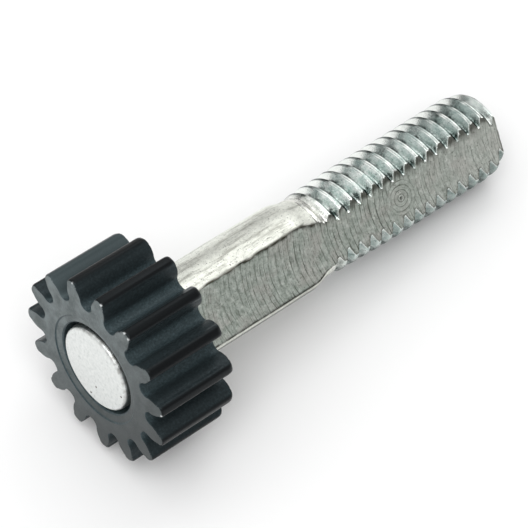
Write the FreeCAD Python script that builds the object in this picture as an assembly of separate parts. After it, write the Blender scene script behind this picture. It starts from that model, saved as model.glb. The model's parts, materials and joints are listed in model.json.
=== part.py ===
# Gear wheel: a moulded 15-tooth pinion that turns on the plain end of a threaded steel stud.
# Lengths are in millimetres. Each piece is drawn along its own axis, which runs from the
# pinion's front face (x = 0) to the end of the thread, and is then laid down as it comes to
# rest on a level surface: on two teeth and on the end of the thread.
import FreeCAD
import Part
import math
import os

Vec = FreeCAD.Vector

# Pinion teeth
tooth_module = 1.0
tooth_count = 15
pressure_angle = 20.0
addendum = 1.0
dedendum = 1.2
tooth_thinning = 0.06
face_width = 7.5
tip_round = 0.14
root_round = 0.22
tip_chamfer = 0.18
outline_spare = 0.02

# Pinion bore
mouth_radius = 4.14
mouth_depth = 1.4
dish_radius = 4.84
dish_depth = 0.22
bore_back_chamfer = 0.25

# Stud
stud_length = 42.2
journal_radius = 3.8
running_clearance = 0.05
axial_play = 0.1
nose_radius = 3.59
nose_edge_length = 0.07
nose_edge_rise = 0.1
nose_curve_length = 0.25
nose_curve_rise = 0.18
nose_length = 0.55
shank_radius = 3.975
shank_end = 20.45
shoulder_chamfer = 0.1
neck_radius = 3.6
neck_taper = 1.35
neck_length = 0.6
turned_crown = 0.01

# Snap rib in the bore and its groove in the stud
rib_position = 4.2
rib_width = 0.8
rib_height = 0.15
groove_side_gap = 0.1

# Thread
thread_major_radius = 3.9
thread_pitch = 1.25
thread_depth = 0.65
thread_root_width = 0.2
flank_angle = 30.0
thread_lead_in = 1.1
end_land = 0.6
first_crest_drop = 0.14
first_crest_rise = 1.4
crest_fill_length = 5.0
end_chamfer_length = 0.9
end_chamfer_height = 0.35

# Milled flat
flat_distance = 3.0
flat_gap_to_pinion = 0.8
flat_turn = -57.0

# Sizes that follow from the driving ones
pitch_radius = tooth_module * tooth_count / 2
tip_radius = pitch_radius + addendum * tooth_module
root_radius = pitch_radius - dedendum * tooth_module
base_radius = pitch_radius * math.cos(math.radians(pressure_angle))
bore_radius = journal_radius + running_clearance
shoulder_start = face_width + axial_play
neck_start = shank_end + neck_taper
thread_start = neck_start + neck_length
thread_full = thread_start + first_crest_rise
flat_start = shoulder_start + flat_gap_to_pinion
end_radius = thread_major_radius - end_chamfer_height
thread_minor_radius = thread_major_radius - thread_depth
clear_radius = tip_radius + shank_radius


def involute(radius):
    """Involute function, in radians, at a radius on or outside the base circle."""
    angle = math.acos(base_radius / radius)
    return math.tan(angle) - angle


def involute_point(radius):
    """A flank's point at a radius: its place up the tooth's foot line, and across it."""
    angle = involute(radius)
    return radius * math.cos(angle), radius * math.sin(angle)


def flank_circle():
    """The circle that follows the involute at the pitch circle and at the tip, and meets the
    straight foot with no kink: how far up the foot it leaves it, and its radius."""
    up_low, across_low = involute_point(pitch_radius)
    up_high, across_high = involute_point(tip_radius)
    step = up_high - up_low
    square = across_high - across_low
    half_linear = step * across_low
    constant = across_low * (across_low * across_high - step ** 2 - across_high ** 2)
    rise = (half_linear + math.sqrt(half_linear ** 2 - square * constant)) / square
    return up_low - rise, (rise ** 2 + across_low ** 2) / (2 * across_low)


def tip_corner():
    """The centre of the rounding at the tip: its reach from the axis, and its angle in
    radians from the tooth's foot line."""
    foot_up, flank_radius = flank_circle()
    reach = tip_radius - tip_round
    inner_radius = flank_radius - tip_round
    spread = math.hypot(foot_up, flank_radius)
    lean = (spread ** 2 + reach ** 2 - inner_radius ** 2) / (2 * spread * reach)
    return reach, math.atan2(flank_radius, foot_up) - math.acos(lean)


def foot_angle():
    """The angle in radians from the middle of a tooth to its straight foot."""
    half_tooth = math.pi / (2 * tooth_count) - tooth_thinning / (2 * pitch_radius)
    return half_tooth + involute(pitch_radius)


def tooth_point(up, across, side, turn):
    """A point of a tooth's outline on the front face, from its place along the foot line."""
    angle = turn + side * foot_angle()
    sideways = -side * across
    y = -up * math.sin(angle) - sideways * math.cos(angle)
    z = up * math.cos(angle) - sideways * math.sin(angle)
    return Vec(0, y, z)


def arc_about(centre, start, end):
    """The shorter arc from start to end about a centre."""
    half_way = (start - centre) + (end - centre)
    half_way.normalize()
    middle = centre + half_way * (start - centre).Length
    return Part.Arc(start, middle, end).toShape()


def tooth_side(side, turn):
    """One side of a tooth from the root circle to the tip land, and the side's two ends."""
    fillet_reach = root_radius + root_round
    fillet_up = math.sqrt(fillet_reach ** 2 - root_round ** 2)
    fillet_centre = tooth_point(fillet_up, -root_round, side, turn)
    root_end = fillet_centre * (root_radius / fillet_reach)
    foot_low = tooth_point(fillet_up, 0, side, turn)
    foot_up, flank_radius = flank_circle()
    foot_high = tooth_point(foot_up, 0, side, turn)
    flank_centre = tooth_point(foot_up, flank_radius, side, turn)
    inner_radius = flank_radius - tip_round
    tip_reach, corner_angle = tip_corner()
    corner_up = tip_reach * math.cos(corner_angle)
    corner_across = tip_reach * math.sin(corner_angle)
    corner_centre = tooth_point(corner_up, corner_across, side, turn)
    outward = corner_centre - flank_centre
    flank_end = flank_centre + outward * (flank_radius / inner_radius)
    tip_end = corner_centre * (tip_radius / tip_reach)
    edges = [
        arc_about(fillet_centre, root_end, foot_low),
        Part.makeLine(foot_low, foot_high),
        arc_about(flank_centre, foot_high, flank_end),
        arc_about(corner_centre, flank_end, tip_end),
    ]
    return edges, root_end, tip_end


def teeth_outline():
    """The closed outline of all the teeth on the front face, with one tooth straight up."""
    axis = Vec(0, 0, 0)
    edges = []
    gap_starts = []
    gap_ends = []
    for index in range(tooth_count):
        turn = index * 2 * math.pi / tooth_count
        leading, leading_root, leading_tip = tooth_side(1, turn)
        trailing, trailing_root, trailing_tip = tooth_side(-1, turn)
        edges += leading + trailing
        edges.append(arc_about(axis, leading_tip, trailing_tip))
        gap_starts.append(leading_root)
        gap_ends.append(trailing_root)
    for index in range(tooth_count):
        next_index = (index + 1) % tooth_count
        edges.append(arc_about(axis, gap_starts[index], gap_ends[next_index]))
    return Part.Wire(Part.__sortEdges__(edges))


def crowned(start, end):
    """An outline's edge: a line, or an arc with a slight crown where the edge tapers gently."""
    along = abs(end.x - start.x)
    across = abs(end.z - start.z)
    tapers = 0 < across < along
    if not tapers:
        return Part.makeLine(start, end)
    edge = end - start
    outward = Vec(-edge.z, 0, edge.x).normalize()
    return Part.Arc(start, (start + end) / 2 + outward * turned_crown, end).toShape()


def turned(points):
    """The solid turned about the x axis from a closed outline of (x, radius) points."""
    corners = [Vec(x, 0, radius) for x, radius in points]
    corners.append(corners[0])
    edges = []
    for index in range(len(points)):
        edges.append(crowned(corners[index], corners[index + 1]))
    face = Part.Face(Part.Wire(edges))
    return face.revolve(Vec(0, 0, 0), Vec(1, 0, 0), 360)


def toothed_blank():
    """The pinion's outside: the teeth, with the corners of their tips broken at both faces."""
    toothed = Part.Face(teeth_outline()).extrude(Vec(face_width, 0, 0))
    barrel = turned([
        (0, 0),
        (0, tip_radius - tip_chamfer),
        (tip_chamfer, tip_radius),
        (tip_chamfer, tip_radius + outline_spare),
        (face_width - tip_chamfer, tip_radius + outline_spare),
        (face_width - tip_chamfer, tip_radius),
        (face_width, tip_radius - tip_chamfer),
        (face_width, 0),
    ])
    return toothed.common(barrel)


def bore_tool():
    """The solid that is cut from the pinion for its dish, its mouth and its bore."""
    rib_radius = bore_radius - rib_height
    rib_start = rib_position - rib_width / 2
    rib_end = rib_position + rib_width / 2
    return turned([
        (0, 0),
        (0, dish_radius),
        (dish_depth, mouth_radius),
        (mouth_depth, mouth_radius),
        (mouth_depth + mouth_radius - bore_radius, bore_radius),
        (rib_start, bore_radius),
        (rib_start, rib_radius),
        (rib_end, rib_radius),
        (rib_end, bore_radius),
        (face_width - bore_back_chamfer, bore_radius),
        (face_width, bore_radius + bore_back_chamfer),
        (face_width, 0),
    ])


def make_pinion():
    """The moulded pinion, with its front face at x = 0 and one tooth straight up."""
    return toothed_blank().cut(bore_tool())


def plain_end():
    """The stud's journal, shank and neck, turned about the x axis."""
    groove_radius = journal_radius - rib_height
    groove_start = rib_position - rib_width / 2 - groove_side_gap
    groove_end = rib_position + rib_width / 2 + groove_side_gap
    return turned([
        (0, 0),
        (0, nose_radius),
        (nose_edge_length, nose_radius + nose_edge_rise),
        (nose_curve_length, nose_radius + nose_curve_rise),
        (nose_length, journal_radius),
        (groove_start, journal_radius),
        (groove_start, groove_radius),
        (groove_end, groove_radius),
        (groove_end, journal_radius),
        (shoulder_start, journal_radius),
        (shoulder_start, shank_radius - shoulder_chamfer),
        (shoulder_start + shoulder_chamfer, shank_radius),
        (shank_end, shank_radius),
        (neck_start, neck_radius),
        (thread_start, neck_radius),
        (thread_start, 0),
    ])


def crest_radius(x):
    """The thread's outer radius at a place along the stud: it rises out of the neck, then runs
    straight to the chamfered end."""
    first_radius = thread_major_radius - first_crest_drop
    straight_start = thread_full + crest_fill_length
    straight_end = stud_length - end_chamfer_length
    if x <= thread_start:
        return neck_radius
    if x < thread_full:
        return neck_radius + (first_radius - neck_radius) * (x - thread_start) / first_crest_rise
    if x < straight_start:
        return first_radius + first_crest_drop * (x - thread_full) / crest_fill_length
    if x <= straight_end:
        return thread_major_radius
    return thread_major_radius - end_chamfer_height * (x - straight_end) / end_chamfer_length


def thread_outline():
    """Half the section of the stud's rolled end, as (x, radius) points. Each turn of the thread
    is drawn as a ring."""
    flank_slope = math.tan(math.radians(flank_angle))
    half_root = thread_root_width / 2
    half_mouth = half_root + thread_depth * flank_slope
    first_groove = thread_start + thread_lead_in
    span = stud_length - end_land - half_mouth - first_groove
    groove_count = 1 + int(span / thread_pitch)
    crest_width = thread_pitch - 2 * half_mouth
    outline = [(thread_start, 0), (thread_start, neck_radius)]
    left_radius = crest_radius(first_groove - half_mouth)
    for index in range(groove_count):
        groove = first_groove + index * thread_pitch
        right_radius = crest_radius(groove + half_mouth + crest_width / 2)
        left_reach = half_root + (left_radius - thread_minor_radius) * flank_slope
        right_reach = half_root + (right_radius - thread_minor_radius) * flank_slope
        outline.append((groove - left_reach, left_radius))
        outline.append((groove - half_root, thread_minor_radius))
        outline.append((groove + half_root, thread_minor_radius))
        outline.append((groove + right_reach, right_radius))
        left_radius = right_radius
    outline.append((stud_length, end_radius))
    outline.append((stud_length, 0))
    return outline


def flat_tool():
    """The block that is milled off one side of the shank and the thread."""
    length = stud_length - flat_start + thread_pitch
    width = 2 * clear_radius
    corner = Vec(flat_start, -clear_radius, flat_distance)
    block = Part.makeBox(length, width, clear_radius, corner)
    block.rotate(Vec(0, 0, 0), Vec(1, 0, 0), -flat_turn)
    return block


def make_stud():
    """The turned, rolled and milled steel stud."""
    return plain_end().fuse(turned(thread_outline())).cut(flat_tool())


def lowest_reach():
    """How far the teeth reach below the axis when two of them stand level on a surface."""
    reach, corner_angle = tip_corner()
    lean = math.pi / tooth_count - foot_angle() + corner_angle
    return reach * math.cos(lean) + tip_round


def rest_tilt():
    """The slope of the axis, in radians, at which the threaded end first meets the surface."""
    contact = face_width - tip_chamfer
    tilts = []
    for x, radius in thread_outline():
        tilts.append(math.atan2(lowest_reach() - radius, x - contact))
    return min(tilts)


def lay_down(shape):
    """Tips a piece until two teeth and the thread touch the level z = 0, and puts the middle
    of the whole part over the origin."""
    tilt = rest_tilt()
    contact = face_width - tip_chamfer
    height = contact * math.sin(tilt) + lowest_reach() * math.cos(tilt)
    low_end = (tip_chamfer - lowest_reach()) * math.sin(tilt)
    high_end = stud_length * math.cos(tilt) + end_radius * math.sin(tilt)
    shape.rotate(Vec(0, 0, 0), Vec(0, 1, 0), math.degrees(tilt))
    shape.translate(Vec(-(low_end + high_end) / 2, 0, height))
    return shape


os.makedirs("parts", exist_ok=True)
pieces = {"pinion": make_pinion(), "stud": make_stud()}
for name, shape in pieces.items():
    lay_down(shape).exportStep("parts/" + name + ".step")
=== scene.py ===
# Gear wheel: a moulded 15-tooth pinion on the plain end of a zinc-plated threaded stud.
# Each piece is modelled in millimetres along its own axis, from the pinion's front face
# (x = 0) to the end of the thread, and is then laid down in the frame in metres.
import bpy
import bmesh
import json
import math
from mathutils import Matrix, Vector, kdtree, noise

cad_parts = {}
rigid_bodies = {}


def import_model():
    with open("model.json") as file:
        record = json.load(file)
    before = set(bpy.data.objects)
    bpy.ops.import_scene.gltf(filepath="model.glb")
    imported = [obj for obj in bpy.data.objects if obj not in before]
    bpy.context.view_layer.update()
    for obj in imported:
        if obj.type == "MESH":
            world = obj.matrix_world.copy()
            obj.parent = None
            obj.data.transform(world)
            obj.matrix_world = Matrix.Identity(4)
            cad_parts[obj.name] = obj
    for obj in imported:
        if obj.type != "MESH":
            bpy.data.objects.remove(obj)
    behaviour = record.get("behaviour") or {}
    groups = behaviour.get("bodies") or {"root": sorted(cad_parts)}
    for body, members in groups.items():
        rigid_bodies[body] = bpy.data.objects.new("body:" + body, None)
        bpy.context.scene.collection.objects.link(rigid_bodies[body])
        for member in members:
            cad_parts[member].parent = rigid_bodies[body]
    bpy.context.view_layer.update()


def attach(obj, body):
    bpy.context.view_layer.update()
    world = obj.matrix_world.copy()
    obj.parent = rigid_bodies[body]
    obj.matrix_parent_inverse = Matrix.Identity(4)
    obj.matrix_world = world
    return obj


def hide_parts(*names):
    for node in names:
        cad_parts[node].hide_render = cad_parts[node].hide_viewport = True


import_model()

# Where the part lies, in millimetres and degrees
LAY_TILT = 7.6511
FRONT_FACE = Vector((-20.6039, 0.0, 9.2607))

# Pinion, in millimetres
TEETH = 15
PITCH_RADIUS = 7.5
TIP_RADIUS = 8.5
ROOT_RADIUS = 6.3
BASE_RADIUS = PITCH_RADIUS * math.cos(math.radians(20.0))
TOOTH_THINNING = 0.06
ROOT_ROUND = 0.58
TIP_ROUND = 0.42
FACE_WIDTH = 7.5
RIM_BREAK = 0.07
ROOT_STEPS = 9
FLANK_STEPS = 9
TIP_STEPS = 6

# From this radius outwards the tooth tips fall away toward both faces, and by how much at each
# distance from the front face
FALL_FROM = 7.6
TIP_FALL = [(0.0, 0.16), (0.05, 0.09), (0.14, 0.02), (0.24, 0.0), (6.9, 0.0), (7.12, 0.03),
            (7.3, 0.1), (7.42, 0.22), (7.5, 0.4)]

# Bore and its dish, as (distance from the front face, radius)
BORE = [(-1.0, 0.0), (-1.0, 4.97), (-0.01, 4.97), (0.02, 4.93), (0.09, 4.84), (0.12, 4.76),
        (0.19, 4.36), (0.22, 4.28), (0.32, 4.17), (1.4, 4.14), (1.69, 3.85), (7.25, 3.85),
        (7.5, 4.1), (8.0, 4.6), (8.0, 0.0)]
BORE_STEPS = 128

# Painted highlights: small glints painted almost white on the front corners of the tooth tips,
# as degrees from the top and radius
PAINTED_GLINTS = [(-22.3, 8.3), (2.0, 8.32), (22.2, 8.32), (25.9, 8.3), (74.1, 8.32)]
PAINTED_GLINT_DEPTH = 0.05
PAINTED_GLINT_REACH = (0.05, 0.12)

# The flank that faces up, painted a paler grey as painted light, as degrees from the top
PAINTED_LIGHT_FLANK = (-47.4, -36.5)

# Where the faces count as the gear's two grained ends, in millimetres
GRAIN_DEPTH = 0.3
GRAIN_INSIDE = 4.2

# Radii between which the flanks darken, the tips turn black and the painted light on the
# one flank sets in
FLANK_DARKENS = (6.45, 7.3)
TIP_DARKENS = (7.95, 8.46)
PAINTED_LIGHT_SETS_IN = (6.3, 6.6)

# Stud, in millimetres
STUD_LENGTH = 42.2
TURN_STEPS = 144

# Vertices closer together than this are merged
DOUBLES = 0.0005
FINE_DOUBLES = 0.0002

# Nose, journal with its groove, and shoulder, as (x, radius)
JOURNAL = [(0.0, 0.0), (0.0, 3.5), (0.015, 3.56), (0.05, 3.63), (0.12, 3.71), (0.25, 3.765),
           (0.4, 3.79), (0.55, 3.8), (2.2, 3.8), (3.7, 3.8), (3.7, 3.65), (4.7, 3.65),
           (4.7, 3.8), (6.2, 3.8), (7.6, 3.8), (7.6, 3.875), (7.63, 3.94)]
NOSE_END = 0.6
SHANK_START = 7.7
SHANK_END = 20.25
SHANK_RADIUS = 3.975
SHANK_RINGS = 22
TAPER = [(20.5, 3.965), (20.75, 3.925), (21.05, 3.85), (21.35, 3.76), (21.6, 3.69),
         (21.8, 3.645), (22.0, 3.615), (22.1, 3.602)]

# Pits in the nose, as (y, z) on the stud's own axis
PITS = [(-0.34, -1.85), (0.22, -3.08), (-3.34, -0.06)]
PIT_RADIUS = 0.12

# The flat: its upper edge is in degrees from the top, and the steel swells along it
FLAT_DISTANCE = 3.0
FLAT_START = 8.4
FLAT_TURN = math.radians(57.0)
FLAT_TOP = 16.0
SWELL = 0.09
MARK_SPACING = 0.52
MARK_DEPTH = 0.016
CUTTER_RADIUS = 8.0
CUTTER_WIDTH = 6.6
CUTTER_HEIGHT = 4.0
CUTTER_CELL = 0.13

# The swirl where the cutter stopped, with its rings and the pip in its middle
SWIRL_X = 30.75
SWIRL_ACROSS = -0.04
SWIRL_REACH = 1.55
RING_SPACING = 0.4
RING_DEPTH = 0.02
PIP_DEPTH = 0.1

# Thread, in millimetres. A pair is the places between which something sets in or fades, and
# each rise of the crests out of the neck is (height, where it sets in, where it is full)
THREAD_START = 22.15
PITCH = 1.25
NECK_RADIUS = 3.6
CREST_RADIUS = 3.9
ROOT_DEPTH = 0.52
THREAD_SETS_IN = (22.2, 23.8)
CREST_RISES = ((0.16, 22.3, 23.8), (0.14, 23.4, 30.0))
WOBBLE = 0.012
CREST_SPARE = 0.01

# Half a pitch of the thread, from the middle of a crest towards the middle of a root, as (share
# of the depth, distance): a rolled crest closes in a seam between two fine lips
THREAD_SIDE = [(0.06, 0.0), (0.05, 0.035), (0.0, 0.09), (0.0, 0.125), (0.05, 0.16),
               (0.14, 0.195), (0.32, 0.2725), (0.5, 0.35), (0.68, 0.425), (0.86, 0.5),
               (0.97, 0.56)]
# Near the end the crests are let down to lie on the floor, and are then rounded off
REST_FROM = 40.5
REST_SLOPE = 0.1343
ROUND_FROM = 41.3
ROUND_RATE = 0.2

# Fine ripples rolled where the thread runs out at the neck: how many to a pitch, and how high
RIPPLES = 4
RIPPLE_HEIGHT = 0.016
RIPPLES_SET_IN = (22.3, 22.7)
RIPPLES_FADE = (23.4, 25.6)

# Dark bands of painted reflection along the top, as the middle and the reach in degrees from
# the top
SHANK_PAINTED_BAND = (-24.0, 14.0)
THREAD_PAINTED_BAND = (-17.0, 13.0)

# Degrees from the top between which the outline under the flat is darkened as painted shade
SHANK_UNDERSIDE = (104.5, 111.0)
THREAD_UNDERSIDE = (103.0, 116.0)

# Places of the stud's materials in its list, and of the grained one in the pinion's
TURNED, ROLLED, MILLED, NOSE = range(4)
GRAINED = 1

# Middle of the part in the frame, and how far the floor lies under it, in metres
PART_MIDDLE = Vector((0.0, 0.0, 0.008))
FLOOR_GAP = 0.00005


# Helpers for shaping a piece


def select_none():
    """Leaves nothing selected, so that an operator acts on one piece alone."""
    if bpy.context.object and bpy.context.object.mode != "OBJECT":
        bpy.ops.object.mode_set(mode="OBJECT")
    for item in bpy.context.view_layer.objects:
        item.select_set(False)


def make_active(piece):
    """Selects one piece alone and makes it active."""
    select_none()
    piece.select_set(True)
    bpy.context.view_layer.objects.active = piece


def outline_piece(name, points, closed):
    """A ring of vertices, drawn as a circle and moved to the points of an outline."""
    select_none()
    bpy.ops.mesh.primitive_circle_add(vertices=len(points), radius=1.0)
    piece = bpy.context.object
    piece.name = name
    piece.data.name = name
    for vertex, point in zip(piece.data.vertices, points):
        vertex.co = point
    if not closed:
        shape = bmesh.new()
        shape.from_mesh(piece.data)
        shape.verts.ensure_lookup_table()
        ends = (shape.verts[0], shape.verts[len(points) - 1])
        closing = [edge for edge in shape.edges if edge.verts[0] in ends and edge.verts[1] in ends]
        bmesh.ops.delete(shape, geom=closing, context="EDGES")
        shape.to_mesh(piece.data)
        shape.free()
    return piece


def finish_modifier(piece, kind, **settings):
    """Adds a modifier with its settings and applies it."""
    make_active(piece)
    modifier = piece.modifiers.new(kind.title(), kind)
    for key, value in settings.items():
        setattr(modifier, key, value)
    bpy.ops.object.modifier_apply(modifier=modifier.name)


def edit_all(piece):
    """Opens a piece in edit mode with all of it selected."""
    make_active(piece)
    bpy.ops.object.mode_set(mode="EDIT")
    bpy.ops.mesh.select_all(action="SELECT")


def edit_edges(piece, wanted):
    """Opens a piece in edit mode with only the edges selected that pass a test."""
    make_active(piece)
    bpy.ops.object.mode_set(mode="EDIT")
    bpy.ops.mesh.select_all(action="DESELECT")
    bpy.ops.object.mode_set(mode="OBJECT")
    shape = bmesh.new()
    shape.from_mesh(piece.data)
    for edge in shape.edges:
        edge.select = wanted(edge)
    shape.select_flush_mode()
    shape.to_mesh(piece.data)
    shape.free()
    bpy.ops.object.mode_set(mode="EDIT")
    bpy.ops.mesh.select_mode(type="EDGE")


def close_edit():
    """Goes back from edit mode, with vertices as what is picked there next."""
    bpy.ops.mesh.select_mode(type="VERT")
    bpy.ops.object.mode_set(mode="OBJECT")


def clean(piece, reach=DOUBLES):
    """Merges doubles and turns every face outwards."""
    edit_all(piece)
    bpy.ops.mesh.remove_doubles(threshold=reach)
    bpy.ops.mesh.normals_make_consistent(inside=False)
    bpy.ops.object.mode_set(mode="OBJECT")


def turned(name, outline, steps=TURN_STEPS):
    """A piece turned about the x axis from (x, radius) points. Ends on the axis are closed."""
    piece = outline_piece(name, [Vector((x, 0.0, radius)) for x, radius in outline], False)
    finish_modifier(piece, "SCREW", axis="X", angle=math.tau, steps=steps, render_steps=steps,
                    screw_offset=0.0, use_merge_vertices=True, merge_threshold=DOUBLES)
    clean(piece)
    return piece


def lay_down(piece):
    """Puts a finished piece in the frame: tipped as it rests, in metres, object at the origin."""
    place = Matrix.Translation(FRONT_FACE) @ Matrix.Rotation(math.radians(LAY_TILT), 4, "Y")
    piece.data.transform(Matrix.Scale(0.001, 4) @ place)
    piece.data.update()


def smooth(piece, degrees):
    """Shades smooth, with creases where faces meet at more than an angle."""
    make_active(piece)
    bpy.ops.object.shade_smooth_by_angle(angle=math.radians(degrees))


def step_between(low, high, value):
    """0 below low, 1 above high, and a smooth rise between."""
    share = min(max((value - low) / (high - low), 0.0), 1.0)
    return share * share * (3.0 - 2.0 * share)


def turn_of(spot):
    """How far a point lies round the stud's axis, in degrees from the top toward the flat."""
    return math.degrees(math.atan2(-spot.y, spot.z))


def reach_of(spot):
    """A point's distance from the axis."""
    return math.hypot(spot.y, spot.z)


def patches(spot, strength, base=0.5):
    """Noise at a point, as a share to both sides of a base and never less than nothing."""
    return max(base + strength * noise.noise(spot), 0.0)


def in_painted_band(turn, stain):
    """How far a turn lies inside a band of painted reflection: 0 at its rim and 1 in its middle.
    """
    middle, reach = stain
    return max(1.0 - abs(turn - middle) / reach, 0.0)


# Materials


def linear(code):
    """A linear colour from an sRGB hex code."""
    channels = [int(code[i:i + 2], 16) / 255.0 for i in (1, 3, 5)]
    out = [c / 12.92 if c <= 0.04045 else ((c + 0.055) / 1.055) ** 2.4 for c in channels]
    return (*out, 1.0)


def grey(level):
    """A linear grey, from 0 to 1."""
    return (level, level, level, 1.0)


def add(tree, kind, settings=None, links=None):
    """Adds a node with its settings and links. A setting's key is a property or an input, and
    stops are a ramp's places, each with a hex colour or a grey level."""
    node = tree.nodes.new(kind)
    for key, value in (settings or {}).items():
        if key == "stops":
            bar = node.color_ramp.elements
            bar.remove(bar[-1])
            for index, (place, tone) in enumerate(value):
                stop = bar.new(place) if index else bar[0]
                stop.position = place
                stop.color = linear(tone) if isinstance(tone, str) else grey(tone)
        elif isinstance(key, int) or key in node.inputs:
            node.inputs[key].default_value = value
        else:
            setattr(node, key, value)
    join(tree, node, links or {})
    return node


def join(tree, node, links):
    """Links outputs to a node's inputs."""
    for key, source in links.items():
        tree.links.new(source, node.inputs[key])


def new_material(name, surface):
    """A material with a Principled surface, its tree and the place on the piece's own axis."""
    material = bpy.data.materials.new(name)
    material.use_nodes = True
    tree = material.node_tree
    tree.nodes.clear()
    shader = add(tree, "ShaderNodeBsdfPrincipled", surface)
    add(tree, "ShaderNodeOutputMaterial", links={"Surface": shader.outputs["BSDF"]})
    where = add(tree, "ShaderNodeTexCoord")
    back = Matrix.Rotation(-math.radians(LAY_TILT), 4, "Y") @ (-FRONT_FACE)
    place = add(tree, "ShaderNodeMapping", {
        "Location": back,
        "Rotation": (0.0, -math.radians(LAY_TILT), 0.0),
        "Scale": (1000.0, 1000.0, 1000.0),
    }, {"Vector": where.outputs["Object"]})
    return material, tree, shader, place.outputs["Vector"]


def moulded_acetal():
    """Carbon-black acetal, injection moulded: the flanks dull to a dark teal grey, the tips are
    near black, the flank that faces up is painted paler as painted light, and a few corners carry
    painted highlights almost white."""
    material, tree, shader, place = new_material("moulded_black_acetal", {
        "IOR": 1.48, "Specular IOR Level": 0.22, "Specular Tint": linear("#d8e8ee")})
    # The skin's grain, drawn 0.2 mm across because the real one is too fine to show
    grain = add(tree, "ShaderNodeTexNoise", {"Scale": 5.2, "Detail": 4.0, "Roughness": 0.7},
                {"Vector": place})
    flank = add(tree, "ShaderNodeValToRGB", {
        "stops": [(0.32, "#2d383b"), (0.5, "#384346"), (0.68, "#465458")]},
        {"Fac": grain.outputs["Fac"]})
    tip = add(tree, "ShaderNodeAttribute", {"attribute_name": "tip"})
    # Painted light: the one flank that faces up is painted a paler grey
    painted_light = add(tree, "ShaderNodeAttribute", {"attribute_name": "painted_light"})
    painted_light_tone = add(tree, "ShaderNodeMix", {"data_type": "RGBA", 7: linear("#566163")},
                 {0: painted_light.outputs["Fac"], 6: flank.outputs["Color"]})
    black = add(tree, "ShaderNodeMix", {"data_type": "RGBA", 7: linear("#0c0c0d")},
                {0: tip.outputs["Fac"], 6: painted_light_tone.outputs[2]})
    # Painted highlights: small glints painted almost white on a few tip corners
    painted_glint = add(tree, "ShaderNodeAttribute", {"attribute_name": "painted_glint"})
    with_painted_glint = add(tree, "ShaderNodeMix", {"data_type": "RGBA", 7: linear("#e8ecec")},
                 {0: painted_glint.outputs["Fac"], 6: black.outputs[2]})
    dull = add(tree, "ShaderNodeMapRange", {"From Min": 0.35, "From Max": 0.65, "To Min": 0.4,
                                            "To Max": 0.32}, {"Value": grain.outputs["Fac"]})
    # Its finest relief, 0.15 mm across and a few thousandths high
    fine = add(tree, "ShaderNodeTexNoise", {"Scale": 7.0, "Detail": 4.0}, {"Vector": place})
    bump = add(tree, "ShaderNodeBump", {"Distance": 0.000006}, {"Height": fine.outputs["Fac"]})
    join(tree, shader, {"Base Color": with_painted_glint.outputs[2], "Roughness": dull.outputs["Result"],
                        "Normal": bump.outputs["Normal"]})
    return material


def sparked_acetal():
    """The same acetal on the faces of the gear, where the mould was left from spark erosion:
    a fine dull grain that scatters light and looks mid grey."""
    material, tree, shader, place = new_material("spark_grained_acetal", {
        "IOR": 1.48, "Roughness": 0.55})
    # Spark grain, drawn 0.15 mm across because the real one is too fine to show, and clouds
    # 1.3 mm across
    grain = add(tree, "ShaderNodeTexNoise", {"Scale": 6.5, "Detail": 5.0, "Roughness": 0.7},
                {"Vector": place})
    cloud = add(tree, "ShaderNodeTexNoise", {"Scale": 0.8, "Detail": 4.0, "Roughness": 0.6},
                {"Vector": place})
    mixed = add(tree, "ShaderNodeMath", {"operation": "MULTIPLY_ADD", 1: 0.6},
                {0: grain.outputs["Fac"], 2: cloud.outputs["Fac"]})
    tone = add(tree, "ShaderNodeValToRGB", {
        "stops": [(0.62, "#465050"), (0.8, "#5c6566"), (0.98, "#6c7677")]},
        {"Fac": mixed.outputs["Value"]})
    # Painted shade: darker toward the bottom and one side
    aside = add(tree, "ShaderNodeVectorMath", {"operation": "DOT_PRODUCT", 1: (0.0, 1.0, 1.0)},
                {0: place})
    low = add(tree, "ShaderNodeMapRange", {"From Min": 7.0, "From Max": -8.0, "To Max": 0.85},
              {"Value": aside.outputs["Value"]})
    with_painted_shade = add(tree, "ShaderNodeMix", {"data_type": "RGBA", 7: linear("#2b3031")},
                {0: low.outputs["Result"], 6: tone.outputs["Color"]})
    # Painted highlights: small glints painted almost white on a few tip corners
    painted_glint = add(tree, "ShaderNodeAttribute", {"attribute_name": "painted_glint"})
    with_painted_glint = add(tree, "ShaderNodeMix", {"data_type": "RGBA", 7: linear("#e8ecec")},
                 {0: painted_glint.outputs["Fac"], 6: with_painted_shade.outputs[2]})
    bump = add(tree, "ShaderNodeBump", {"Distance": 0.000012}, {"Height": grain.outputs["Fac"]})
    join(tree, shader, {"Base Color": with_painted_glint.outputs[2], "Normal": bump.outputs["Normal"]})
    return material


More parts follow.
